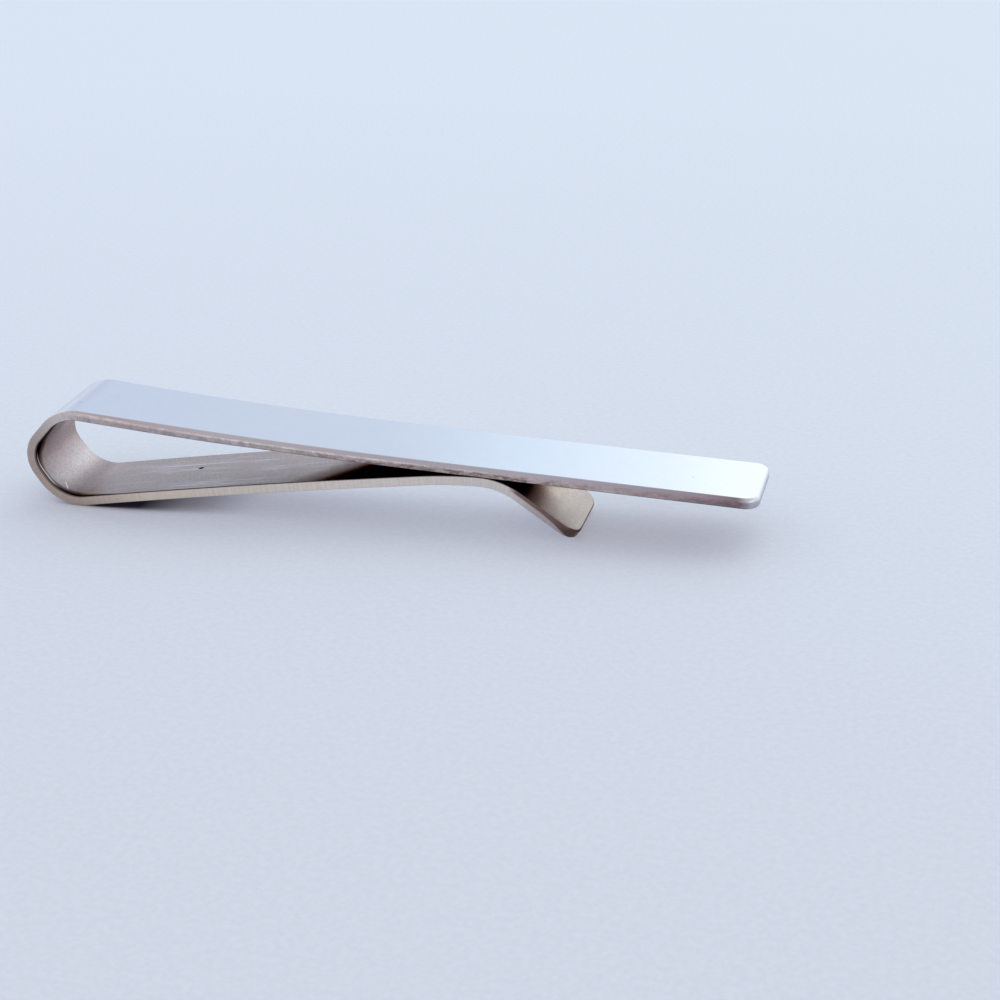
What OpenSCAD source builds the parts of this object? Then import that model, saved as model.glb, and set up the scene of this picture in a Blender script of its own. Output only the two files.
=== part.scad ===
// Slide tie clip bent from one flat strip of polished metal.
// It lies on its back: the heel of the bow and the tip of the lip are at z = 0.
// X runs along the clip from the closed end to the free end, Y across the strip.

/* [Strip] */
// Width of the metal strip
strip_w = 6; // [4:0.5:10]
// Thickness of the metal strip
strip_t = 0.65; // [0.5:0.05:1]

/* [Front bar] */
// Overall length of the clip, from the closed end to the free end
clip_len = 50.5; // [45:0.5:65]
// Slope of the bar, in degrees, while the clip lies on its back
bar_slope = 3.15; // [2:0.05:5]
// Radius of the two rounded corners at the free end
bar_corner_r = 1; // [0.5:0.1:1.8]
// Radius of the slight hollow curve where the bar runs into the bow
root_r = 450; // [300:10:600]
// Turn of that hollow curve, in degrees
root_turn = 3.1; // [1:0.1:4]

/* [Spring bow] */
// Centreline radius of the bend at the top of the bow
top_r = 3.1; // [2:0.1:4]
// Length of the straight flank above the closed end
upper_flank = 1.35; // [0.5:0.05:2.5]
// Slope of the upper flank, in degrees
upper_flank_slope = 46; // [35:1:60]
// Centreline radius of the bend at the closed end
apex_r = 2.1; // [1.2:0.1:3.5]
// Length of the straight flank below the closed end
lower_flank = 0.6; // [0.4:0.1:2]
// Slope of the lower flank, in degrees
lower_flank_slope = 58; // [40:1:65]
// Centreline radius of the bend at the heel
heel_r = 3.05; // [2:0.05:4]

/* [Back arm] */
// Length of the arm from the heel to the grip crest
arm_len = 24.7; // [18:0.1:28]
// Radius of the slight camber along the arm
camber_r = 670; // [500:10:2000]

/* [Grip crest] */
// Radius of the easy curve at the end of the arm
ease_r = 30; // [15:1:50]
// Turn of the easy curve, in degrees
ease_turn = 7.4; // [4:0.2:10]
// Radius of the tighter bend that touches the bar
crest_r = 4.6; // [2.5:0.1:7]
// Running clearance between the crest and the bar
grip_gap = 0.03; // [0.02:0.01:0.1]

/* [Lead-in lip] */
// Angle at which the lip flares down, in degrees
lip_slope = 36; // [25:0.5:50]
// Radius of the two rounded corners of the lip
lip_corner_r = 1.2; // [0.5:0.1:1.8]

/* [Hidden] */
$fn = 180;
half_t = strip_t / 2;
half_w = strip_w / 2;
overrun = 1;
// Tiny step by which tangent faces are made to cross, and the turn that carries a bend past its end to do so
nick = 0.001;
past = 3;
// Facets to the full turn for the long gentle curves
gentle_fn = 2880;

// Headings are angles in the XZ plane, in degrees, taken while travelling from the free end of the bar
// round the bow to the tip of the lip. The inner face of the strip is then always on the left.
bar_heading = 180 - bar_slope;
root_heading = bar_heading - root_turn;
upper_heading = 180 + upper_flank_slope;
lower_heading = 360 - lower_flank_slope;
lip_heading = -lip_slope;

// Unit vector along a heading, and unit vector to its left
function along(h) = [cos(h), sin(h)];
function left(h) = [-sin(h), cos(h)];

// Bend centres of the bow, each from the next one down, with the heel resting at z = 0
heel_below = left(lower_heading) * (heel_r - apex_r) + along(lower_heading) * lower_flank;
apex_below = left(upper_heading) * (apex_r - top_r) + along(upper_heading) * upper_flank;
apex_c = [half_t + apex_r, half_t + heel_r - heel_below.y];
heel_c = apex_c + heel_below;
top_c = apex_c - apex_below;

// Front bar: hollow curve out of the top bend, then straight to the free end
root_p = top_c - left(root_heading) * top_r;
root_c = root_p - left(root_heading) * root_r;
bar_p = root_c + left(bar_heading) * root_r;
bar_len = (clip_len - half_t * sin(bar_slope) - bar_p.x) / cos(bar_slope);

// Centre of the crest bend, seen from the heel centre, for an arm that leaves the heel level
camber_turn = arm_len / camber_r * 180 / PI;
curl_turn = camber_turn + ease_turn;
crest_v = left(0) * (-heel_r - camber_r) + left(-camber_turn) * (camber_r - ease_r)
    + left(-curl_turn) * (ease_r - crest_r);

// Heading of the arm at the heel, for which the crest meets the underside of the bar
bar_n = -left(bar_heading);
heel_drop = bar_n * (heel_c - bar_p) + half_t;
arm_heading = asin((-crest_r - half_t - grip_gap - heel_drop) / norm(crest_v))
    - atan2(crest_v.y, crest_v.x) - bar_slope;

// Joins and bend centres along the arm, the crest and the lip
arm_p = heel_c - left(arm_heading) * heel_r;
camber_c = arm_p - left(arm_heading) * camber_r;
ease_heading = arm_heading - camber_turn;
ease_p = camber_c + left(ease_heading) * camber_r;
ease_c = ease_p - left(ease_heading) * ease_r;
crest_heading = ease_heading - ease_turn;
crest_p = ease_c + left(crest_heading) * ease_r;
crest_c = crest_p - left(crest_heading) * crest_r;
lip_p = crest_c + left(lip_heading) * crest_r;
lip_len = (lip_p.y - half_t * cos(lip_slope)) / sin(lip_slope);

// Places what is drawn along +X, with its inner face up, at a point of the XZ plane with a heading
module at(p, h) {
    translate([p.x - clip_len / 2, 0, p.y])
        rotate([0, -h, 0])
            children();
}

// Stands an outline of the XZ plane up across the strip, with extra on both sides
module across(extra) {
    translate([-clip_len / 2, half_w + extra, 0])
        rotate([90, 0, 0])
            linear_extrude(strip_w + 2 * extra)
                children();
}

// Sector of a disc across the strip, between two directions seen from its centre, less a round core
module sector(c, core_r, r, from, to, extra) {
    translate([c.x - clip_len / 2, half_w + extra, c.y])
        rotate([90, 0, 0])
            rotate_extrude(start = from, angle = to - from)
                translate([core_r, 0])
                    square([r - core_r, strip_w + 2 * extra]);
}

// Strip bent round a centre, between two directions seen from it
module bent_strip(c, r, from, to) {
    translate([c.x, half_w, c.y])
        rotate([90, 0, 0])
            rotate_extrude(start = from, angle = to - from, $fn = gentle_fn)
                translate([r - half_t, 0])
                    square([strip_t, strip_w]);
}

// Wedge under a straight flank, between the centres of the bends on both sides of it
module under_flank(a, a_r, b, b_r, h, extra) {
    across(extra)
        polygon([a + left(h) * extra, a - left(h) * (a_r - nick),
            b - left(h) * (b_r - nick), b + left(h) * extra]);
}

// Everything inside one face of the bow, as seen from its bend centres. The face lies the given offset
// outside the centreline, and the ends may turn on past the joins with the bar and the arm.
module inside_bow(off, turn_on, extra) {
    sector(top_c, 0, top_r + off, root_heading - 90 - turn_on, upper_heading - 90 + past, extra);
    under_flank(top_c, top_r + off, apex_c, apex_r + off, upper_heading, extra);
    sector(apex_c, 0, apex_r + off, upper_heading - 90 - past, lower_heading - 90 + past, extra);
    under_flank(apex_c, apex_r + off, heel_c, heel_r + off, lower_heading, extra);
    sector(heel_c, 0, heel_r + off, lower_heading - 90 - past, arm_heading + 270 + turn_on, extra);
}

// Everything under one face of the crest, as seen from its bend centres, a little way down
module under_crest(off, turn_on, extra) {
    sector(ease_c, ease_r - crest_r / 2 - extra, ease_r + off,
        crest_heading + 90, ease_heading + 90 + turn_on, extra);
    sector(crest_c, 0, crest_r + off + nick,
        lip_heading + 90 - turn_on, crest_heading + 90 + past + turn_on, extra);
}

// Straight strip that starts at X = 0 and ends in two rounded corners
module straight_strip(len, r) {
    translate([0, 0, -half_t])
        linear_extrude(strip_t) {
            translate([0, -half_w])
                square([len - r, strip_w]);
            translate([0, r - half_w])
                square([len, strip_w - 2 * r]);
            for (side = [-1, 1])
                translate([len - r, side * (half_w - r)])
                    circle(r);
        }
}

// Flat front of the clip, with its hollow root curve and its rounded free end
module front_bar() {
    color("lightsteelblue")
        at(bar_p, bar_heading + 180) {
            straight_strip(bar_len, bar_corner_r);
            bent_strip([0, root_r], root_r, 270 - root_turn, 270);
        }
}

// Loop at the closed end, which is the spring of the clip
module spring_bow() {
    color("silver")
        difference() {
            inside_bow(half_t, 0, 0);
            inside_bow(-half_t, past, overrun);
        }
}

// Back strip that rises from the heel to the grip crest with a slight camber
module back_arm() {
    color("darkgray")
        at(arm_p, arm_heading)
            bent_strip([0, -camber_r], camber_r, 90 - camber_turn, 90);
}

// Rounded bend that presses the cloth against the underside of the bar
module grip_crest() {
    color("rosybrown")
        difference() {
            under_crest(half_t, 0, 0);
            under_crest(-half_t, past, overrun);
        }
}

// Flared end that guides the clip on to the cloth
module lead_in_lip() {
    color("tan")
        at(lip_p, lip_heading)
            straight_strip(lip_len, lip_corner_r);
}

front_bar();
spring_bow();
back_arm();
grip_crest();
lead_in_lip();
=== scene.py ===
"""Slide tie clip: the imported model's strip with softened edges and worn, polished metal.

Every skin is made in the strip's own coordinates, in millimetres: s along the strip from the bar's free
end to the lip's tip, y across it, and n through its thickness, which is positive on the inner side.
"""
import math

import bpy
import numpy as np
from mathutils import Matrix, Vector


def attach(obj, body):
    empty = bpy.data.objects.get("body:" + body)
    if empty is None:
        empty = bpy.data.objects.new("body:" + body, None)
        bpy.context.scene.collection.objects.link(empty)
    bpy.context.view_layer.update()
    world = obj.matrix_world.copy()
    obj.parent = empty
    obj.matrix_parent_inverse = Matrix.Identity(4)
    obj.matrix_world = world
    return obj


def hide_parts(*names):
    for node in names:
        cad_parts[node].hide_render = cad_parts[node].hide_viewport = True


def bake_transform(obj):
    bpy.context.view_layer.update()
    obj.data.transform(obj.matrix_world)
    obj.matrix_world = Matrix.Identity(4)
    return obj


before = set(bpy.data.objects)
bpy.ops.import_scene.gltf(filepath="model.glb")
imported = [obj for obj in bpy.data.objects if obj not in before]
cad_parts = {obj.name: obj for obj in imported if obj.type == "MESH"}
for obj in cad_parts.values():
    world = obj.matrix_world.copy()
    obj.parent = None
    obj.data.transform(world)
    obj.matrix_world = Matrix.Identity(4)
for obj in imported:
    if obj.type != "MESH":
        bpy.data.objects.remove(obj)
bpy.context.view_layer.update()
MM = 0.001

# ---------------------------------------------------------------- the strip's centreline, in mm and degrees
T, W, LENGTH = 0.65, 6.0, 50.5
HALF_T, HALF_W = T / 2, W / 2
BAR_SLOPE, BAR_CORNER = 3.15, 1.0
ROOT_R, ROOT_TURN = 450.0, 3.1
TOP_R, UPPER_FLANK, UPPER_SLOPE = 3.1, 1.35, 46.0
APEX_R, LOWER_FLANK, LOWER_SLOPE, HEEL_R = 2.1, 0.6, 58.0, 3.05
ARM_LEN, CAMBER_R = 24.7, 670.0
EASE_R, EASE_TURN, CREST_R, GRIP_GAP = 30.0, 7.4, 4.6, 0.03
LIP_SLOPE, LIP_CORNER = 36.0, 1.2


def along(h):
    """Unit vector along a heading in the XZ plane."""
    return np.array([math.cos(math.radians(h)), math.sin(math.radians(h))])


def left(h):
    """Unit vector to the left of a heading, where the inner face is."""
    return np.array([-math.sin(math.radians(h)), math.cos(math.radians(h))])


def centreline():
    """The bar's free end, the heading there, and each stretch on from it as (name, length, turn).

    The bends are laid out as in the part's source: the heel rests at z = 0, and the arm leaves the heel
    at the heading for which the crest stands the grip gap below the bar.
    """
    bar_h, upper_h, lower_h = 180 - BAR_SLOPE, 180 + UPPER_SLOPE, 360 - LOWER_SLOPE
    root_h = bar_h - ROOT_TURN
    heel_below = left(lower_h) * (HEEL_R - APEX_R) + along(lower_h) * LOWER_FLANK
    apex_below = left(upper_h) * (APEX_R - TOP_R) + along(upper_h) * UPPER_FLANK
    apex_c = np.array([HALF_T + APEX_R, HALF_T + HEEL_R - heel_below[1]])
    heel_c, top_c = apex_c + heel_below, apex_c - apex_below
    bar_p = top_c - left(root_h) * (TOP_R + ROOT_R) + left(bar_h) * ROOT_R
    slope = math.radians(BAR_SLOPE)
    bar_len = (LENGTH - HALF_T * math.sin(slope) - bar_p[0]) / math.cos(slope)

    # the crest's centre seen from the heel's, for an arm that leaves the heel level
    camber = math.degrees(ARM_LEN / CAMBER_R)
    v = left(0) * (-HEEL_R - CAMBER_R) + left(-camber) * (CAMBER_R - EASE_R)
    v = v + left(-camber - EASE_TURN) * (EASE_R - CREST_R)
    drop = -left(bar_h) @ (heel_c - bar_p) + HALF_T
    lean = math.asin((-CREST_R - HALF_T - GRIP_GAP - drop) / math.hypot(*v))
    arm_h = math.degrees(lean - math.atan2(v[1], v[0])) - BAR_SLOPE
    crest_h = arm_h - camber - EASE_TURN
    crest_c = heel_c + v[0] * along(arm_h) + v[1] * left(arm_h)
    flare = math.radians(LIP_SLOPE)
    lip_len = (crest_c[1] + CREST_R * math.cos(flare) - HALF_T * math.cos(flare)) / math.sin(flare)

    def bend(name, r, turn):
        return name, math.radians(abs(turn)) * r, turn

    turns = [
        ("bar", bar_len, 0.0),
        bend("bar", ROOT_R, -ROOT_TURN),
        bend("bow", TOP_R, upper_h - root_h),
        ("bow", UPPER_FLANK, 0.0),
        bend("bow", APEX_R, lower_h - upper_h),
        ("bow", LOWER_FLANK, 0.0),
        bend("bow", HEEL_R, arm_h + 360 - lower_h),
        ("arm", ARM_LEN, -camber),
        bend("crest", EASE_R, -EASE_TURN),
        bend("crest", CREST_R, -LIP_SLOPE - crest_h),
        ("lip", lip_len, 0.0),
    ]
    return bar_p - along(bar_h) * bar_len - np.array([LENGTH / 2, 0]), bar_h, turns


START, HEADING, TURNS = centreline()
SPANS, reach = {}, 0.0
for name, length, _ in TURNS:
    SPANS.setdefault(name, [reach, reach])[1] = reach + length
    reach += length
BAR_END, BOW_END = SPANS["bow"]
CREST_END, TIP = SPANS["lip"]


def place(s):
    """Centreline point and heading at a distance along the strip."""
    p, h, at = START.copy(), HEADING, 0.0
    for _, length, turn in TURNS:
        step = min(max(s - at, 0.0), length)
        if turn:
            r = length / math.radians(turn)
            c = p + left(h) * r
            h += turn * step / length
            p = c - left(h) * r
        else:
            p = p + along(h) * step
        at += length
        if s <= at:
            break
    return p, h


# ---------------------------------------------------------------- skins
NEARLY_STRAIGHT = 5.0                                   # turn of a stretch that needs no close stations
STRAIGHT_STEP, BEND_STEP, BEND_TURN = 0.7, 0.5, 1.5     # longest steps between stations, and largest turn
TINY = 1e-9
CORNER_POINTS, CORNER_GAP = 13, 0.05                    # points round a corner, and free space after it
# columns of vertices across a face, as shares of its width, close together near the sides
COLS = [0.0, 0.012, 0.03, 0.055, 0.1, 0.17, 0.25, 0.34, 0.45,
        0.55, 0.66, 0.75, 0.83, 0.9, 0.945, 0.97, 0.988, 1.0]
RIDGE = 0.22                                            # how far in from the side the burr reaches
IN_STEPS, OUT_STEPS = 5, 8                              # steps round the inner and the outer softened edge
# tilt of the side's normal at each vertex over the thickness, from the inner face to the outer face
TILTS = [math.radians(90 - 90 * k / IN_STEPS) for k in range(IN_STEPS + 1)]
TILTS += [math.radians(-90 * k / OUT_STEPS) for k in range(OUT_STEPS + 1)]
LAST = len(TILTS) - 1


def stations(s0, s1):
    """Distances along the strip, close together where it bends."""
    out, at = [s0], 0.0
    for _, length, turn in TURNS:
        a, b = max(s0, at), min(s1, at + length)
        if b > a + TINY:
            straight = abs(turn) < NEARLY_STRAIGHT
            step = STRAIGHT_STEP if straight else min(BEND_STEP, length / abs(turn) * BEND_TURN)
            n = max(1, math.ceil((b - a) / step))
            out += [a + (b - a) * k / n for k in range(1, n + 1)]
        at += length
    return out


def ease(x, a, b):
    """Smooth step from 0 at a to 1 at b."""
    t = min(max((x - a) / (b - a), 0.0), 1.0)
    return t * t * (3 - 2 * t)


def edge_radii(s):
    """Softening of the outer and the inner long edge.

    Polishing has rolled the bar's outer edges over, and use has worn the inner ones of the bow and the lip.
    """
    on_bar = 1 - ease(s, BAR_END - 8, BAR_END + 3)
    in_bow = ease(s, BAR_END + 0.5, BAR_END + 4) * (1 - ease(s, BOW_END - 3, BOW_END + 1))
    on_lip = ease(s, CREST_END - 1, CREST_END + 3.5)
    return 0.07 + 0.21 * on_bar, 0.05 + 0.02 * on_bar + 0.08 * in_bow + 0.11 * on_lip


def burr(s):
    """Height of the ridge that shearing and bending left along the inner edges, highest next to the bow."""
    return 0.015 + 0.045 * ease(s, BAR_END - 14, BAR_END - 9) * (1 - ease(s, BAR_END + 0.5, BAR_END + 2.5))


class Skin:
    """The vertices of one piece, each with its normal and its place in the strip."""

    def __init__(self):
        self.verts, self.normals, self.strip, self.side = [], [], [], []

    def add(self, s, y, n, ns, ny, nn):
        """A vertex at (s, y, n) with the normal (ns, ny, nn)."""
        p, h = place(s)
        q = p + left(h) * n
        d = along(h) * ns + left(h) * nn
        self.verts.append((q[0] * MM, y * MM, q[1] * MM))
        self.normals.append((d[0], ny, d[1]))
        self.strip.append((s, y, n))
        self.side.append(nn)
        return len(self.verts) - 1

    def wall(self, points):
        """A row of vertices over the thickness for each outline point, from the inner face to the outer."""
        out = []
        for s, y, ns, ny in points:
            r_out, r_in = edge_radii(s)
            row = []
            for k, b in enumerate(TILTS):
                if k <= IN_STEPS:
                    r = r_in
                    n = HALF_T - r * (1 - math.sin(b)) + burr(s)
                else:
                    r = r_out
                    n = -HALF_T + r * (1 + math.sin(b))
                inset = r * (1 - math.cos(b))
                row.append(self.add(s - ns * inset, y - ny * inset, n,
                                    ns * math.cos(b), ny * math.cos(b), math.sin(b)))
            out.append(row)
        return out

    def face(self, near_rows, far_rows, end_rows, j, nn):
        """Rows of vertices over the face that holds the walls' vertices j, and looks along n or against it."""
        grid = []
        for i, (near_row, far_row) in enumerate(zip(near_rows, far_rows)):
            a, b = near_row[j], far_row[j]
            if i == 0 and end_rows:
                mid = [row[j] for row in end_rows]
            else:
                (sa, ya, _), (sb, yb, _) = self.strip[a], self.strip[b]
                mid = []
                for c in COLS[1:-1]:
                    y = ya + (yb - ya) * c
                    rise = burr(sa) * (1 - ease(HALF_W - abs(y), 0.0, RIDGE)) if nn > 0 else 0.0
                    mid.append(self.add(sa + (sb - sa) * c, y, nn * HALF_T + rise, 0.0, 0.0, nn))
            grid.append([a] + mid + [b])
        return grid


def outline(s0, s1, corner_at, corner_r):
    """Points (s, y) with their normals (ns, ny) along the far side of a stretch, and round its corner."""
    side = [(s, HALF_W, 0.0, 1.0) for s in stations(s0, s1)]
    if not corner_at:
        return side
    tip, inward = (s0, 1) if corner_at == "start" else (s1, -1)
    arc = []
    for a in np.radians(np.linspace(90, 0, CORNER_POINTS)):
        s = tip + inward * corner_r * (1 - math.sin(a))
        arc.append((s, HALF_W - corner_r + corner_r * math.cos(a), -inward * math.sin(a), math.cos(a)))
    side = [p for p in side if (p[0] - tip) * inward > corner_r + CORNER_GAP]
    return arc + (side if inward > 0 else side[::-1])


def facing(face, pos, away):
    """The face, its vertices in the order that makes it look along a direction."""
    p = pos[list(face)]
    p = p - p.mean(0)
    area = np.cross(p, np.roll(p, -1, axis=0)).sum(0)
    return face if area @ away >= 0 else face[::-1]


def strip_piece(name, s0, s1, corner_at=None, corner_r=1.0):
    """A stretch of strip as a closed mesh. corner_at is "start" or "end" where that end is rounded."""
    skin = Skin()
    far = outline(s0, s1, corner_at, corner_r)
    near = [(s, -y, ns, -ny) for s, y, ns, ny in far]
    n_rows = len(far)
    if corner_at:
        s, y, ns, _ = far[0]
        end = [(s, -y + 2 * y * c, ns, 0.0) for c in COLS[1:-1]]
        walls = skin.wall(near[::-1] + end + far)
        near_rows, end_rows, far_rows = walls[:n_rows][::-1], walls[n_rows:-n_rows], walls[-n_rows:]
        runs, open_rows = [walls], [n_rows - 1]
    else:
        near_rows, far_rows, end_rows = skin.wall(near), skin.wall(far), None
        runs, open_rows = [near_rows[::-1], far_rows], [0, n_rows - 1]
    inner = skin.face(near_rows, far_rows, end_rows, 0, 1.0)
    outer = skin.face(near_rows, far_rows, end_rows, LAST, -1.0)
    faces = []
    for run in runs:
        for a, b in zip(run, run[1:]):
            faces += [(a[k], b[k], b[k + 1], a[k + 1]) for k in range(LAST)]
    for grid in (inner, outer):
        for a, b in zip(grid, grid[1:]):
            faces += [(a[k], a[k + 1], b[k + 1], b[k]) for k in range(len(COLS) - 1)]
    caps = [tuple(inner[i] + far_rows[i][1:-1] + outer[i][::-1] + near_rows[i][1:-1][::-1])
            for i in open_rows]     # the cuts where the next pieces go on

    normals, pos = np.array(skin.normals), np.array(skin.verts)
    turned = [facing(f, pos, normals[list(f)].sum(0)) for f in faces]
    turned += [facing(f, pos, pos[list(f)].mean(0) - pos.mean(0)) for f in caps]
    mesh = bpy.data.meshes.new(name)
    mesh.from_pydata(skin.verts, [], turned)
    strip = mesh.attributes.new("strip", "FLOAT_VECTOR", "POINT")
    strip.data.foreach_set("vector", np.array(skin.strip, np.float32).ravel())
    side = mesh.attributes.new("side", "FLOAT", "POINT")
    side.data.foreach_set("value", np.array(skin.side, np.float32))
    loops = []
    for i, poly in enumerate(mesh.polygons):
        poly.use_smooth = True
        loops += [skin.normals[v] if i < len(faces) else tuple(poly.normal) for v in poly.vertices]
    mesh.normals_split_custom_set(loops)
    return new_object(name, mesh)


def new_object(name, data):
    """An object in the scene."""
    o = bpy.data.objects.new(name, data)
    bpy.context.collection.objects.link(o)
    return o


# ---------------------------------------------------------------- nodes
WHITE, BLACK = (1.0, 1.0, 1.0), (0.0, 0.0, 0.0)


class Tree:
    """Short names for the few nodes that the materials and the world use."""

    def __init__(self, owner):
        owner.use_nodes = True
        self.t = owner.node_tree
        self.t.nodes.clear()

    def node(self, kind, **props):
        n = self.t.nodes.new("ShaderNode" + kind)
        for k, v in props.items():
            setattr(n, k, v)
        return n

    def put(self, socket, v):
        """Links an output, or sets a number or a colour."""
        if isinstance(v, bpy.types.NodeSocket):
            self.t.links.new(v, socket)
        elif isinstance(v, tuple) and len(v) == 3 and socket.type == "RGBA":
            socket.default_value = v + (1,)
        else:
            socket.default_value = v

    def math(self, op, *args, clamp=False):
        n = self.node("Math", operation=op, use_clamp=clamp)
        for k, v in enumerate(args):
            self.put(n.inputs[k], v)
        return n.outputs[0]

    def add(self, a, b):
        return self.math("ADD", a, b)

    def sub(self, a, b):
        return self.math("SUBTRACT", a, b)

    def mul(self, a, *more):
        for b in more:
            a = self.math("MULTIPLY", a, b)
        return a

    def most(self, a, *more):
        for b in more:
            a = self.math("MAXIMUM", a, b)
        return a

    def size(self, v):
        return self.math("ABSOLUTE", v)

    def mix(self, fac, a, b, mode="MIX"):
        n = self.node("Mix", data_type="RGBA", blend_type=mode)
        for k, v in ((0, fac), (6, a), (7, b)):
            self.put(n.inputs[k], v)
        return n.outputs[2]

    def tint(self, a, b):
        return self.mix(1.0, a, b, "MULTIPLY")

    def mixf(self, fac, a, b):
        n = self.node("Mix", data_type="FLOAT")
        for k, v in ((0, fac), (2, a), (3, b)):
            self.put(n.inputs[k], v)
        return n.outputs[0]

    def step(self, v, a, b, lo=0.0, hi=1.0):
        """Smooth step from lo at a to hi at b."""
        n = self.node("MapRange", interpolation_type="SMOOTHSTEP")
        for k, x in enumerate((v, a, b, lo, hi)):
            self.put(n.inputs[k], x)
        return n.outputs[0]

    def band(self, v, a, b, soft):
        """One between a and b, zero outside, with soft sides."""
        return self.mul(self.step(v, a - soft, a + soft), self.step(v, b - soft, b + soft, 1.0, 0.0))

    def spot(self, s, y, at_s, at_y, r, long=1.0):
        """One inside a small blot, which may be long along the strip."""
        a = self.math("DIVIDE", self.sub(s, at_s), long)
        b = self.sub(y, at_y)
        d = self.math("SQRT", self.add(self.mul(a, a), self.mul(b, b)))
        return self.step(d, 0.6 * r, 1.2 * r, 1.0, 0.0)

    def ramp(self, v, lo, hi, stops):
        """Colours, or greys given as one number, at places between lo and hi."""
        n = self.node("ValToRGB")
        e = n.color_ramp.elements
        while len(e) < len(stops):
            e.new(0.5)
        for el, (p, c) in zip(e, stops):
            el.position = (p - lo) / (hi - lo)
            el.color = (*c, 1) if isinstance(c, tuple) else (c, c, c, 1)
        m = self.node("MapRange")
        for k, x in enumerate((v, lo, hi, 0.0, 1.0)):
            self.put(m.inputs[k], x)
        self.put(n.inputs[0], m.outputs[0])
        return n.outputs[0]

    def noise(self, vector, scale, detail, rough, shift=0.0):
        """Noise with its own scale along each axis."""
        m = self.node("Mapping")
        self.put(m.inputs["Vector"], vector)
        m.inputs["Scale"].default_value = scale
        m.inputs["Location"].default_value = (shift, shift, shift)
        n = self.node("TexNoise")
        self.put(n.inputs["Vector"], m.outputs[0])
        n.inputs["Scale"].default_value = 1.0
        n.inputs["Detail"].default_value = detail
        n.inputs["Roughness"].default_value = rough
        return n.outputs["Fac"]

    def openness(self, distance, samples):
        """Ambient occlusion: one in the open, and less where something stands within the distance."""
        n = self.node("AmbientOcclusion", samples=samples)
        n.inputs["Distance"].default_value = distance
        return n.outputs["AO"]

    def attribute(self, name, output):
        return self.node("Attribute", attribute_name=name).outputs[output]

    def split(self, vector):
        n = self.node("SeparateXYZ")
        self.put(n.inputs[0], vector)
        return n.outputs


# ---------------------------------------------------------------- metal
# Ramps along the strip: (s, colour or grey). END is a round number a little past the lip's tip.
END = 96.0
# Painted sheen and painted shade on the inner face along the strip: how bright it looks where it mirrors its
# surroundings, brightest on the lip.
INSIDE_SHEEN_AND_SHADE = [
    (48.0, (1.10, 1.00, 1.05)), (50.5, (1.15, 1.03, 1.10)), (51.5, (0.88, 0.77, 0.79)),
    (52.5, (0.98, 0.90, 0.94)), (53.0, (0.84, 0.80, 0.92)), (53.6, (1.02, 1.03, 1.17)),
    (54.5, (1.14, 1.19, 1.42)), (55.0, (1.08, 1.08, 1.26)), (55.6, (0.83, 0.80, 0.92)),
    (56.3, (0.84, 0.77, 0.81)), (57.0, (1.07, 0.99, 0.96)), (58.0, (1.04, 1.00, 0.96)),
    (66.0, (1.07, 1.04, 0.99)), (71.0, (1.15, 1.11, 1.06)), (74.5, (1.30, 1.23, 1.16)),
    (86.0, (1.25, 1.20, 1.15)), (89.0, (1.55, 1.5, 1.48)), (90.2, (1.9, 1.84, 1.85)),
    (91.2, (1.22, 1.19, 1.24)), (92.5, (1.03, 1.02, 1.09)),
]
BOW_SHARE = [(40, 1), (57, 1), (58.5, 0.25)]            # how much the tone across the strip counts
FOLD_SHADE_REACH = [                                         # how far in from the near side the painted shade in the folds reaches
    (44.0, 0.1), (48.0, 0.8), (49.5, 1.3), (50.5, 1.6), (51.3, 1.6), (52.0, 1.05), (52.8, 0.7),
    (53.5, 0.5), (55.0, 0.65), (56.5, 0.8), (57.5, 0.5), (60.0, 0.16), (86.0, 0.12), (88.0, 0.02),
]
# Side colours along the strip. SHEARED and TORN are pale at the bar's free end as a painted glint round its
# corner, and SHEARED is lighter along the arm, partly as painted light for the shaded floor that the side
# mirrors.
SHEARED = [
    (0.0, (0.65, 0.64, 0.70)), (0.5, (0.50, 0.475, 0.52)), (1.1, (0.25, 0.16, 0.16)),
    (3.6, (0.44, 0.31, 0.31)), (10.0, (0.545, 0.45, 0.40)), (15.3, (0.68, 0.55, 0.52)),
    (20.0, (0.70, 0.62, 0.57)), (25.0, (0.89, 0.81, 0.74)), (30.0, (0.90, 0.82, 0.72)),
    (37.0, (0.92, 0.80, 0.71)), (43.0, (0.87, 0.67, 0.59)), (47.5, (0.74, 0.65, 0.60)),
    (50.0, (0.50, 0.40, 0.35)), (53.0, (0.475, 0.36, 0.29)), (57.5, (0.63, 0.51, 0.41)),
    (62.0, (0.90, 0.77, 0.62)), (70.0, (0.83, 0.73, 0.61)), (78.0, (0.87, 0.75, 0.66)),
    (88.0, (0.77, 0.67, 0.60)), (90.0, (0.56, 0.46, 0.43)), (92.0, (0.52, 0.42, 0.40)),
    (92.8, (0.44, 0.38, 0.37)),
]
TORN = [
    (0.0, (0.61, 0.60, 0.655)), (0.5, (0.45, 0.42, 0.455)), (1.1, (0.27, 0.19, 0.20)),
    (3.6, (0.36, 0.28, 0.29)), (10.0, (0.62, 0.50, 0.49)), (15.3, (0.55, 0.44, 0.39)),
    (20.0, (0.56, 0.43, 0.40)), (25.0, (0.52, 0.40, 0.37)), (30.0, (0.56, 0.48, 0.46)),
    (37.0, (0.55, 0.49, 0.50)), (43.0, (0.55, 0.46, 0.47)),
]
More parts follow.
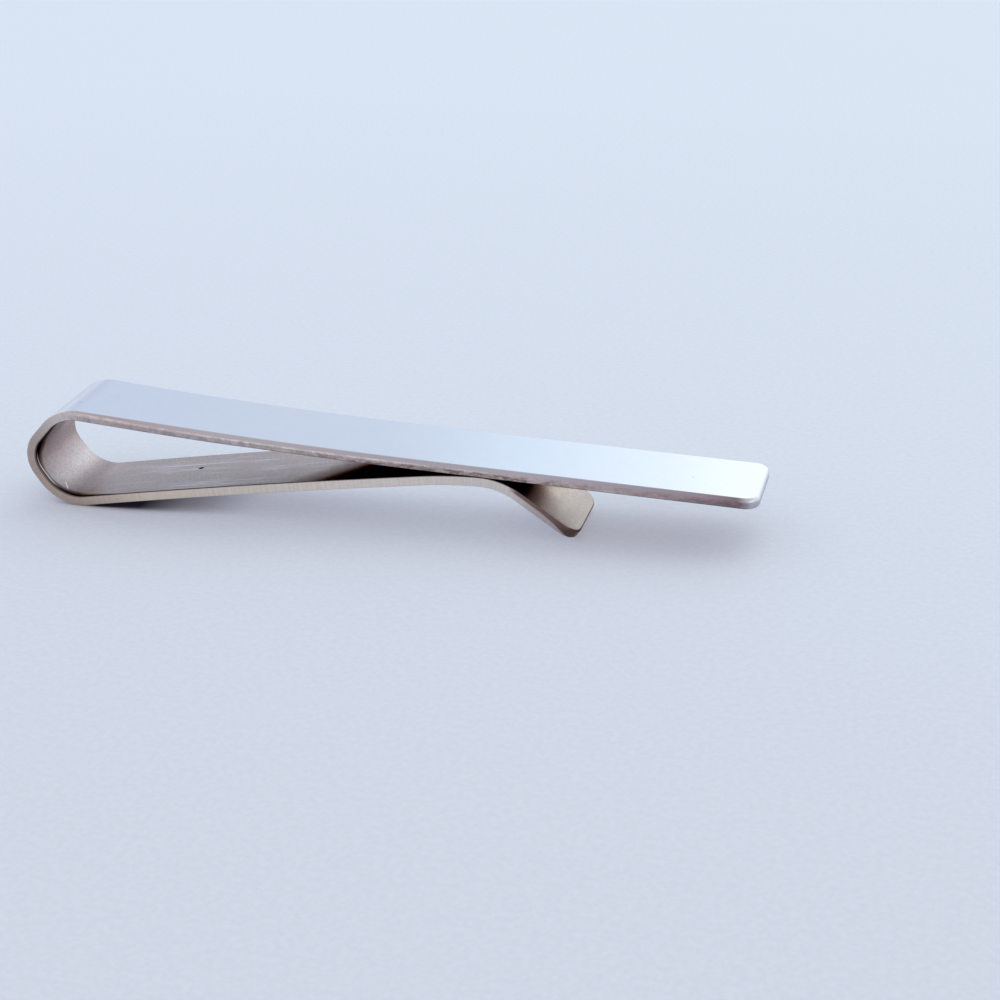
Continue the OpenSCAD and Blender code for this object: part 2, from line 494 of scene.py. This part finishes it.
# painted reflection on the bar's rolled edge: pale at the free end, then mauve grey with a dark stretch
ROLLED_REFLECTION = [
    (0.4, (0.68, 0.685, 0.715)), (0.8, (0.56, 0.545, 0.58)), (1.3, (0.30, 0.22, 0.26)),
    (3.6, (0.42, 0.35, 0.41)), (10.0, (0.50, 0.46, 0.53)), (15.0, (0.56, 0.53, 0.59)),
    (20.0, (0.54, 0.51, 0.55)), (30.0, (0.585, 0.53, 0.575)), (37.0, (0.60, 0.56, 0.60)),
    (43.0, (0.56, 0.49, 0.53)),
]
# the height n above which the lip's edge has its painted dark band, plus LIP_SHADE_SHIFT, as a ramp can't go
# below zero
LIP_SHADE_FROM = [(88.0, 0.60), (90.5, 0.60), (91.6, 0.50), (92.3, 0.35), (92.9, 0.20)]
LIP_SHADE_SHIFT = 0.5
# Other ramps: painted shade and sheen across the strip (y), painted reflection by the side's tilt, and painted
# shade along the two ends of the pinch
SHADE_ACROSS = [(-3.0, 0.66), (-2.2, 0.80), (-1.2, 0.94), (0.0, 1.0), (1.2, 1.14), (2.4, 1.22)]
# painted reflection: lighter and darker bands by the rolled edge's tilt
TILT_REFLECTION = [(-0.985, 1.10), (-0.94, 1.08), (-0.866, 1.0), (-0.6, 1.0), (-0.42, 1.2), (-0.3, 1.45)]
MOUTH = [
    (-2.4, 0.0), (-1.4, 0.18), (-0.4, 0.32), (0.0, 0.45), (0.6, 0.65), (1.6, 0.82), (2.6, 0.95), (3.3, 1.0),
]
THROAT = [
    (-1.5, 1.0), (-1.1, 0.85), (-0.7, 0.66), (0.0, 0.45), (0.35, 0.32), (0.8, 0.14), (1.2, 0.04), (1.6, 0.0),
]
# tones of the painted shade and of the pit, from none to black
SHADE_AND_PIT_TONES = [(0.0, WHITE), (0.5, (0.42, 0.36, 0.35)), (0.8, (0.085, 0.062, 0.058)), (1.0, BLACK)]
PINCH_REACH = 4 * MM
BUMP_HEIGHT = 0.02 * MM


class MetalTree(Tree):
    """A tree that knows the strip's coordinates and the noises that several of its surfaces share."""

    def __init__(self, material):
        super().__init__(material)
        self.strip, self.side = self.attribute("strip", "Vector"), self.attribute("side", "Fac")
        self.s, self.y, self.n = self.split(self.strip)
        self.rim = self.sub(HALF_W, self.size(self.y))                  # distance from the nearer side
        self.on_bar = self.step(self.s, BAR_END - 2, BAR_END + 3, 1.0, 0.0)
        self.mottle = self.noise(self.strip, (1.4, 1.2, 1.2), 5.0, 0.6)
        self.grain = self.noise(self.strip, (0.9, 11, 11), 4.0, 0.6)
        self.fine = self.noise(self.strip, (7, 11, 11), 4.0, 0.65)

    def inside(self):
        """Inner face in warm grey satin, with painted sheen and painted shade and a pit: scratched and rubbed
        bright along the arm.
        """
        s, y, strip = self.s, self.y, self.strip
        speck = self.step(self.noise(strip, (10, 10, 10), 2.0, 0.5, 3.0), 0.62, 0.72)
        scratch = self.step(self.noise(strip, (0.30, 14, 14), 2.0, 0.5, 7.0), 0.56, 0.68)
        patch = self.step(self.noise(strip, (0.22, 0.9, 0.9), 1.0, 0.5, 11.0), 0.45, 0.6)
        worn = self.mul(self.band(s, BOW_END + 1, BOW_END + 17, 3.0), self.mul(scratch, patch))
        near_rub = self.mul(self.band(s, BOW_END + 5.5, BOW_END + 14, 2.0), self.band(y, -2.55, -1.75, 0.25))
        far_rub = self.mul(self.band(s, BOW_END + 3.5, BOW_END + 9.5, 1.5), self.band(y, 0.8, 1.7, 0.3))
        rub = self.step(self.noise(strip, (0.10, 10, 10), 3.0, 0.6, 2.0), 0.46, 0.64)
        rub = self.mul(rub, self.most(near_rub, far_rub))
        # painted shade: the bar's underside is painted dark, so that it mirrors dark into the pinch
        bar_underside_shade = self.step(s, BAR_END - 1, BAR_END + 1.5, 1.0, 0.0)
        c = self.mix(self.mottle, (0.26, 0.215, 0.19), (0.43, 0.365, 0.325))
        for mark, share, colour in (
            (self.step(self.fine, 0.3, 0.7), 0.5, (0.52, 0.455, 0.41)),
            (self.step(self.fine, 0.5, 0.2), 0.35, (0.16, 0.13, 0.12)),
            (speck, 0.30, (0.80, 0.77, 0.77)),
            (worn, 0.4, (0.90, 0.88, 0.90)),
            (rub, 0.5, (0.85, 0.83, 0.87)),
            (bar_underside_shade, 0.6, (0.08, 0.066, 0.062)),
        ):
            c = self.mix(self.mul(mark, share), c, colour)
        # painted shade and sheen across the inner face: darker toward the near side and lighter toward the far
        # side, in full in the bow and a quarter of it beyond
        in_bow = self.ramp(s, 40.0, END, BOW_SHARE)
        across = self.mix(in_bow, WHITE, self.ramp(y, -3.0, 3.0, SHADE_ACROSS))
        c = self.tint(c, self.tint(self.ramp(s, 40.0, END, INSIDE_SHEEN_AND_SHADE), across))
        shade_and_pit_tint = self.ramp(self.shade_and_pit(), 0.0, 1.0, SHADE_AND_PIT_TONES)
        c = self.tint(c, shade_and_pit_tint)
        # painted highlight: a light line along the burr inside the bow's near rim
        ridge = self.mul(self.band(self.rim, 0.19, 0.32, 0.04), self.band(s, 51.8, 54.6, 0.5),
                         self.step(y, -1.0, -2.0))
        c = self.mix(self.mul(ridge, 0.6), c, (0.72, 0.63, 0.60))
        nick = self.mul(self.band(s, 54.95, 55.5, 0.08), self.band(self.add(y, s), 53.09, 53.21, 0.05))
        return self.mix(self.mul(nick, 0.5), c, (0.95, 0.93, 0.96)), shade_and_pit_tint

    def shade_and_pit(self):
        """Painted shade in the folds along the near side, a pit on the arm, and painted shade in the pinch
        behind the crest.
        """
        s, y, rim = self.s, self.y, self.rim
        from_fold = self.math("DIVIDE", rim, self.ramp(s, 44.0, END, FOLD_SHADE_REACH))
        fold_shade = self.math("POWER", self.math("SUBTRACT", 1.0, from_fold, clamp=True), 0.7)
        fold_shade = self.mul(fold_shade, self.step(y, 0.8, -0.8))
        # painted shade in the pinch behind the crest, from its mouth on the arm to its throat on the lip
        mouth = self.sub(s, self.add(CREST_END - 14.4, self.mul(rim, 1.15)))
        mouth = self.ramp(mouth, -3.0, 4.0, MOUTH)
        throat = self.sub(s, self.add(CREST_END + 1.15, self.mul(rim, self.sub(0.3, self.mul(rim, 0.12)))))
        throat = self.ramp(throat, -2.0, 3.0, THROAT)
        closed = self.step(self.openness(PINCH_REACH, 8), 0.84, 0.68)   # gone while the jaw is open
        pit = self.spot(s, y, BOW_END + 7.33, 0.7, 0.16, 1.3)
        return self.most(fold_shade, pit, self.mul(mouth, throat, closed))

    def cut_side(self):
        """Sheared side, how dull it is, and its brink. It has a bright band, and on the bar a torn one."""
        s, strip = self.s, self.strip
        ragged = self.mul(self.sub(self.noise(strip, (3.5, 0.2, 0.2), 4.0, 0.7), 0.5), 0.22)
        dull = self.mul(self.step(self.add(self.n, ragged), -0.08, 0.09),
                        self.step(s, BAR_END - 1, BAR_END + 2, 1.0, 0.0))
        chipped = self.mul(self.mixf(self.band(s, 13.0, 28.0, 4.0), 0.25, 0.85), self.step(s, 0.6, 3.0))
        chips = self.step(self.noise(strip, (1.5, 4.5, 4.5), 4.0, 0.75, 5.0), 0.47, 0.56)
        chips = self.mul(chips, chipped)
        torn = self.mix(chips, self.ramp(s, 0.0, END, TORN), (0.10, 0.065, 0.06))
        c = self.mix(self.mul(dull, 0.9), self.ramp(s, 0.0, END, SHEARED), torn)
        c = self.mix(self.mul(self.step(self.grain, 0.35, 0.75), 0.18), c, (0.50, 0.42, 0.40))
        streaks = self.step(self.noise(strip, (5.0, 0.3, 0.3), 3.0, 0.6, 9.0), 0.3, 0.7, 0.94, 1.05)
        blots = self.step(self.noise(strip, (1.8, 0.8, 2.5), 4.0, 0.65, 13.0), 0.32, 0.68, 0.84, 1.14)
        c = self.tint(c, self.mix(self.on_bar, streaks, blots))

        # painted reflection: the polished edge of the bar is painted mauve grey as it rolls over, in bands by
        # its tilt
        rolled = self.tint(self.ramp(s, 0.0, 50.0, ROLLED_REFLECTION), self.ramp(self.side, -1.0, 0.0, TILT_REFLECTION))
        rolled = self.mix(self.step(self.side, -0.35, -0.12), rolled, c)
        c = self.mix(self.on_bar, c, rolled)

        # painted shade: the inner brink is painted dark, and the lip's edge has a painted dark band, darkest
        # toward the tip, but both hardly show across the lip's end
        brink = self.step(self.side, 0.13, 0.37)
        tip = self.mul(self.step(s, TIP - 0.7, TIP - 0.3), self.step(self.y, -2.2, -1.4))
        c = self.mix(self.mul(brink, self.mixf(tip, 0.88, 0.2)), c, (0.13, 0.105, 0.11))
        on_lip = self.step(s, CREST_END - 0.9, CREST_END - 0.1)
        above = self.sub(self.n, self.sub(self.ramp(s, 86.0, 94.0, LIP_SHADE_FROM), LIP_SHADE_SHIFT))
        lip_edge_shade = self.mul(self.step(above, -0.05, 0.05), self.sub(on_lip, tip))
        lip_edge_shade_colour = self.mix(self.step(s, 91.0, 92.8), (0.22, 0.145, 0.125), (0.13, 0.08, 0.066))
        return self.mix(lip_edge_shade, c, lip_edge_shade_colour), dull, brink

    def polished(self):
        """Mirror face with two faint blemishes."""
        c = self.mix(self.mottle, (0.70, 0.705, 0.715), (0.74, 0.745, 0.755))
        by_bow = self.spot(self.s, self.y, 46.8, -1.35, 0.16)
        by_end = self.spot(self.s, self.y, 4.5, -0.55, 0.10)
        return self.mix(self.mul(self.most(by_bow, by_end), 0.25), c, (0.35, 0.34, 0.36))


def strip_metal(name):
    """Mirror polish outside, worn satin inside, and sheared sides."""
    m = bpy.data.materials.new(name)
    t = MetalTree(m)
    outer = t.step(t.side, t.mixf(t.on_bar, -0.80, -0.955), t.mixf(t.on_bar, -0.97, -0.998))
    inner = t.step(t.side, 0.85, 0.97)
    inside, shade_and_pit_tint = t.inside()
    cut, dull, brink = t.cut_side()
    colour = t.mix(inner, t.mix(outer, cut, t.polished()), inside)

    cut_rough = t.mixf(dull, t.step(t.fine, 0.2, 0.8, 0.26, 0.34), 0.5)
    rough = t.mixf(outer, cut_rough, t.step(t.mottle, 0.2, 0.8, 0.04, 0.08))
    rough = t.mixf(inner, rough, t.step(t.mottle, 0.2, 0.8, 0.28, 0.40))

    height = t.add(t.mul(t.grain, 0.5), t.mul(t.fine, 0.6))
    height = t.mul(height, t.mul(t.step(t.side, -0.1, -0.45, 1.0, 0.0), t.mixf(inner, 0.25, 1.0)))
    bump = t.node("Bump")
    bump.inputs["Strength"].default_value = 0.35
    bump.inputs["Distance"].default_value = BUMP_HEIGHT
    t.put(bump.inputs["Height"], height)

    b = t.node("BsdfPrincipled")
    b.inputs["Metallic"].default_value = 1.0
    t.put(b.inputs["Base Color"], colour)
    t.put(b.inputs["Roughness"], rough)
    # the painted shade on the brink, in the folds and in the pinch also dims the reflections there
    t.put(b.inputs["Specular Tint"], t.mix(inner, t.mix(brink, WHITE, (0.30, 0.22, 0.20)), shade_and_pit_tint))
    t.put(b.inputs["Normal"], bump.outputs[0])
    t.put(t.node("OutputMaterial").inputs[0], b.outputs[0])
    return m


# ---------------------------------------------------------------- pieces
bar_metal, back_metal = strip_metal("bar_metal"), strip_metal("back_metal")
PIECES = [
    ("bar", "front_bar", "start", BAR_CORNER, bar_metal, "polished_metal"),
    ("bow", "spring_bow", None, 1.0, back_metal, "satin_metal"),
    ("arm", "back_arm", None, 1.0, back_metal, "satin_metal"),
    ("crest", "grip_crest", None, 1.0, back_metal, "satin_metal"),
    ("lip", "lead_in_lip", "end", LIP_CORNER, back_metal, "satin_metal"),
]
for stretch, cad_node, corner_at, corner_r, metal, slot in PIECES:
    o = strip_piece(cad_node + "_skin", *SPANS[stretch], corner_at, corner_r)
    o.data.materials.append(metal)
    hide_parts(cad_node)
    if stretch == "bow":
        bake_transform(o)
    else:
        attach(o, "front" if stretch == "bar" else "back")

# ---------------------------------------------------------------- floor, in metres
FLOOR = 3.0                 # half of its width
TOUCH = 2 * MM              # how near the clip is where the floor gets its painted contact shadow
GLOW_SHARE = 0.36
PAPER_AND_FALLOFF = [(-0.04, (0.655, 0.712, 0.800)), (0.02, (0.680, 0.760, 0.856)), (0.12, (0.715, 0.802, 0.902))]
CONTACT_SHADOW_ALONG_X = [
    (-0.0245, 0.1), (-0.0225, 0.45), (-0.0205, 1.0), (-0.0175, 1.0), (-0.0145, 0.6), (-0.008, 0.3),
    (0.004, 0.0),
]


def floor_material():
    """Pale paper, lighter toward the back as painted falloff, with a painted contact shadow where the clip
    nearly touches it.

    What the camera and reflections see of it is part glow, so that its soft shadow stays light.
    """
    m = bpy.data.materials.new("pale_floor")
    t = Tree(m)
    co = t.node("TexCoord").outputs["Object"]
    x, y, _ = t.split(co)
    # painted falloff: the paper is lighter toward the back
    c = t.ramp(y, -0.05, 0.15, PAPER_AND_FALLOFF)
    c = t.tint(c, t.step(t.noise(co, (2600, 2600, 2600), 3.0, 0.7), 0.3, 0.7, 0.962, 1.018))
    # painted contact shadow where the clip nearly touches the floor, strongest under the arm beside the heel
    contact_shadow = t.mul(t.step(t.openness(TOUCH, 16), 0.80, 0.25), t.ramp(x, -0.026, 0.006, CONTACT_SHADOW_ALONG_X))
    c = t.mix(contact_shadow, c, (0.02, 0.016, 0.03))
    b = t.node("BsdfPrincipled")
    b.inputs["Roughness"].default_value = 0.7
    b.inputs["Specular IOR Level"].default_value = 0.15
    t.put(b.inputs["Base Color"], t.tint(c, (0.885, 0.962, 0.924)))
    glow = t.node("Emission")
    t.put(glow.inputs["Color"], t.tint(c, (1.075, 0.90, 0.96)))
    path = t.node("LightPath")
    seen = t.most(path.outputs["Is Camera Ray"], path.outputs["Is Glossy Ray"])
    both = t.node("MixShader")
    t.put(both.inputs[0], t.mul(seen, GLOW_SHARE))
    t.put(both.inputs[1], b.outputs[0])
    t.put(both.inputs[2], glow.outputs[0])
    t.put(t.node("OutputMaterial").inputs[0], both.outputs[0])
    return m


me = bpy.data.meshes.new("floor")
corners = [(-FLOOR, -FLOOR, 0), (FLOOR, -FLOOR, 0), (FLOOR, FLOOR, 0), (-FLOOR, FLOOR, 0)]
me.from_pydata(corners, [], [(0, 1, 2, 3)])
me.materials.append(floor_material())
floor = new_object("floor", me)

# ---------------------------------------------------------------- light
BACK = [        # by the direction's x, on the side that the bar mirrors in the photograph
    (-0.5, (0.68, 0.77, 0.98)), (-0.27, (0.78, 0.89, 1.07)), (-0.2, (0.92, 1.07, 1.27)),
    (-0.13, (1.10, 1.24, 1.36)), (-0.09, (1.26, 1.38, 1.38)),
]
OVERHEAD = [    # by the direction's x
    (-0.45, (0.74, 0.75, 0.77)), (-0.15, (0.55, 0.56, 0.58)), (0.08, (0.80, 0.81, 0.83)),
    (0.25, (0.84, 0.85, 0.87)), (0.5, (0.68, 0.69, 0.71)),
]
FRONT = [       # by the direction's z
    (0.0, (0.355, 0.32, 0.335)), (0.3, (0.45, 0.42, 0.435)), (0.55, (0.655, 0.635, 0.655)),
    (1.0, (0.70, 0.71, 0.73)),
]
ENDS = [        # by the direction's z
    (0.0, (0.42, 0.43, 0.47)), (0.12, (0.56, 0.57, 0.62)), (0.3, (0.95, 0.95, 1.02)),
    (0.45, (1.05, 1.03, 1.20)),
]
END_PANEL = (1.05, 1.03, 1.20)
HORIZON = (0.66, 0.73, 0.83)


def studio():
    """The studio as a world, which the metal mirrors: back, front, both ends and what is overhead."""
    world = bpy.data.worlds.new("studio")
    t = Tree(world)
    dx, dy, dz = t.split(t.node("TexCoord").outputs["Generated"])
    over = t.ramp(dx, -0.6, 0.6, OVERHEAD)
    back = t.mix(t.step(dz, 0.55, 0.85), t.ramp(dx, -0.5, 0.1, BACK), over)
    front = t.mix(t.step(dz, 0.7, 0.95), t.ramp(dz, 0.0, 1.0, FRONT), over)
    light = t.mix(t.step(dy, -0.15, 0.3), front, back)
    endwise = t.size(dx)
    ends = t.mix(t.step(endwise, 0.80, 0.93), END_PANEL, t.ramp(dz, 0.0, 0.6, ENDS))
    light = t.mix(t.step(endwise, 0.5, 0.75), light, ends)
    light = t.mix(t.node("LightPath").outputs["Is Camera Ray"], light, HORIZON)     # beyond the floor
    bg = t.node("Background")
    t.put(bg.inputs["Color"], light)
    t.put(t.node("OutputWorld").inputs[0], bg.outputs[0])
    return world


bpy.context.scene.world = studio()

softbox = bpy.data.lights.new("softbox", "AREA")
softbox.shape, softbox.size, softbox.energy = "DISK", 2.3, 14.0
softbox_o = new_object("softbox", softbox)
softbox_o.location = (0.60, 0.96, 1.65)
softbox_o.rotation_euler = Vector(softbox_o.location).to_track_quat("Z", "Y").to_euler()
softbox_o.visible_glossy = False

# ---------------------------------------------------------------- camera
AZ, EL, ROLL = -16.633, 24.682, -3.025                          # degrees
DIST, AIM = 126.013, (32.935 - LENGTH / 2, 0.0, 1.276)          # mm
SENSOR, FOCAL = 36, 1.9                                         # mm, and in widths of the sensor

a, e, r = (math.radians(v) for v in (AZ, EL, ROLL))
fwd = Vector((math.sin(a) * math.cos(e), math.cos(a) * math.cos(e), -math.sin(e)))
level = Vector((math.cos(a), -math.sin(a), 0))
upright = level.cross(fwd)
right = level * math.cos(r) + upright * math.sin(r)
up = upright * math.cos(r) - level * math.sin(r)
cam = bpy.data.cameras.new("camera")
cam.sensor_width = SENSOR
cam.lens = SENSOR * FOCAL
cam.clip_start, cam.clip_end = 0.005, 50
cam_o = new_object("camera", cam)
turn = Matrix((right, up, -fwd)).transposed().to_4x4()
cam_o.matrix_world = Matrix.Translation((Vector(AIM) - fwd * DIST) * MM) @ turn
bpy.context.scene.camera = cam_o
bpy.context.scene.view_settings.view_transform = "Standard"
